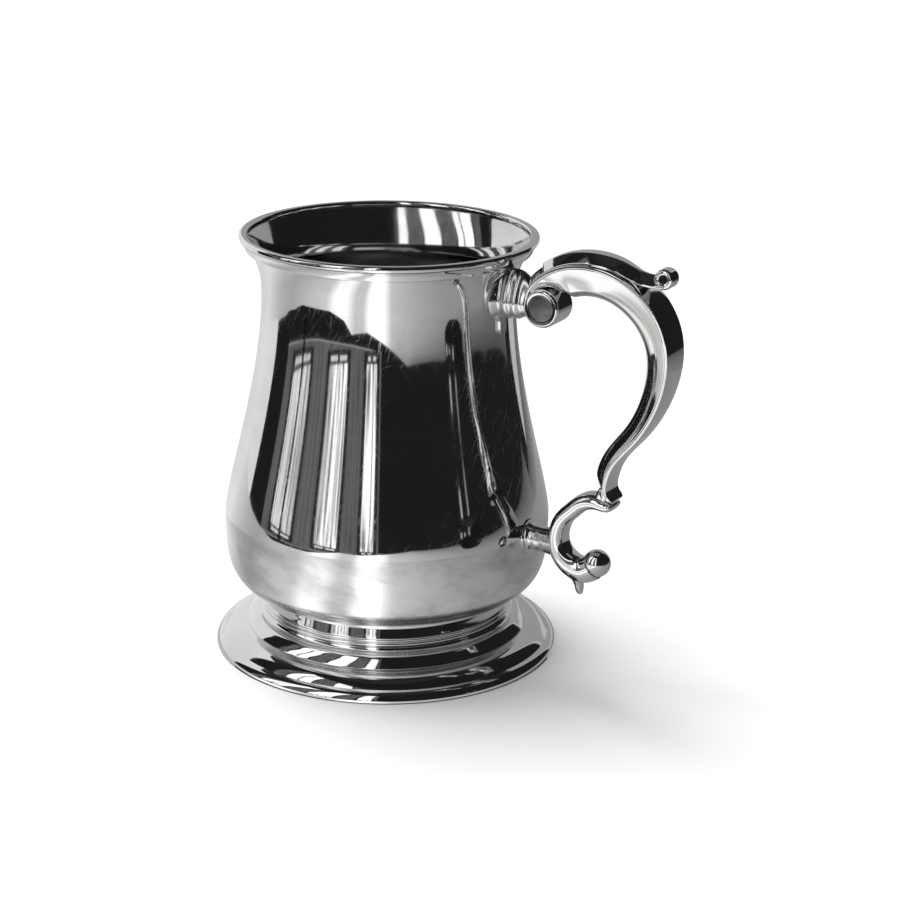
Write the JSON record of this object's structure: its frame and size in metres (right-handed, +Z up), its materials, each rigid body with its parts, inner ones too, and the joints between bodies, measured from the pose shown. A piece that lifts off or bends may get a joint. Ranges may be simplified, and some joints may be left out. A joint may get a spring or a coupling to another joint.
{
  "type": "tankard",
  "caption": "Pewter drinking tankard with a tulip-shaped body, a moulded spreading foot, and a double-scroll handle with a thumb leaf.",
  "frame": {"origin": "centre of the foot's underside, on the plane the tankard stands on", "axes": "+Z up along the cup's axis; +X from the cup towards the handle; +Y completes a right-handed frame"},
  "size_m": [0.1447, 0.104, 0.1299],
  "materials": {
    "spun_pewter": "polished pewter with fine scratches",
    "foot_pewter": "polished pewter, turned",
    "cast_pewter": "polished cast pewter"
  },
  "bodies": {
    "root": {"body_upper": "spun_pewter", "body_lower": "spun_pewter", "bottom_disc": "spun_pewter", "lip_wire": "spun_pewter", "lip_band": "spun_pewter", "foot_collar": "foot_pewter", "foot_flange": "foot_pewter", "foot_edge_wire": "foot_pewter", "handle_half_left": "cast_pewter", "handle_half_right": "cast_pewter", "handle_back_strip": "cast_pewter", "volute_roll": "cast_pewter", "volute_disc_left": "cast_pewter", "volute_disc_right": "cast_pewter", "thumb_leaf": "cast_pewter", "leaf_curl": "cast_pewter", "leaf_eye_left": "cast_pewter", "leaf_eye_right": "cast_pewter", "scroll_heel": "cast_pewter", "lower_scroll": "cast_pewter", "ball_terminal": "cast_pewter", "drop_spur": "cast_pewter", "upper_back_plate": "cast_pewter", "upper_strut": "cast_pewter", "lower_back_plate": "cast_pewter", "lower_strut": "cast_pewter"}
  },
  "joints": []
}
